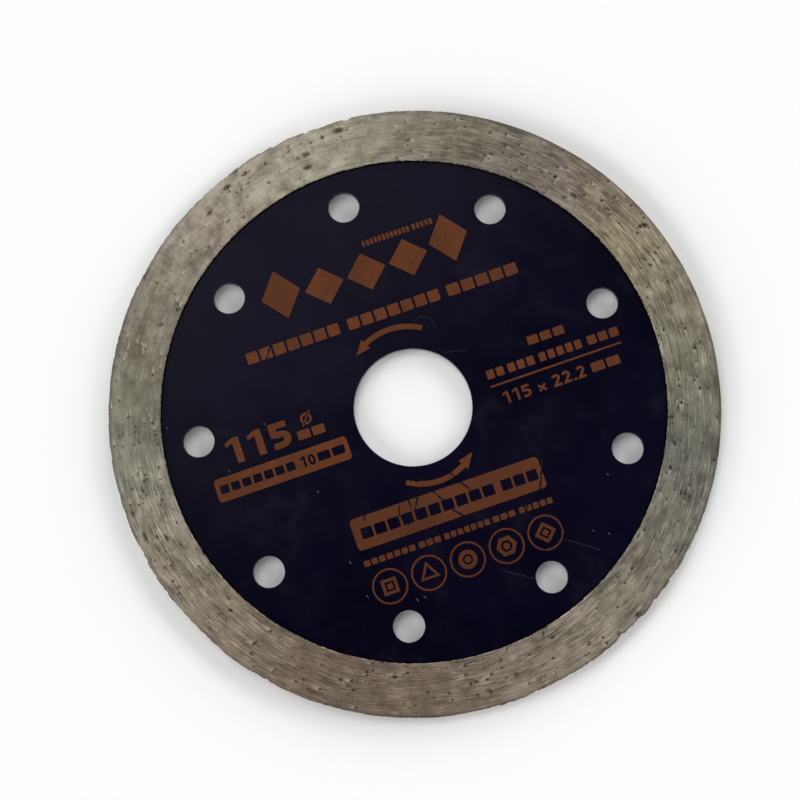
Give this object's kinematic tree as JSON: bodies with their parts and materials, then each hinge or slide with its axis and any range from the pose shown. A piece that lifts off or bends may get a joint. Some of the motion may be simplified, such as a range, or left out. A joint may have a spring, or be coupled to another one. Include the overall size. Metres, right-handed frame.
{
  "type": "diamond blade",
  "caption": "Flat round continuous-rim cutting blade: keyed steel core with an arbor bore and a ring of cooling holes, gripped at its edge by a thicker sintered diamond rim.",
  "frame": {"origin": "centre of the arbor bore, halfway through the thickness", "axes": "+Z along the spindle axis and out of the printed front face, +X across the blade, -Y through one of the cooling holes"},
  "size_m": [0.115, 0.115, 0.002],
  "materials": {
    "core_steel": "ground sheet steel",
    "bond_metal": "sintered bronze, hidden inside",
    "rim_matrix": "sintered metal with diamond grit, ground on its sides with fine tangential scratches",
    "core_paint": "satin near-black navy paint",
    "print_ink": "matt copper-brown screen print"
  },
  "bodies": {
    "root": {"steel_core": "core_steel", "bond_layer": "bond_metal", "diamond_rim": "rim_matrix", "front_paint": "core_paint", "back_paint": "core_paint"}
  },
  "joints": []
}
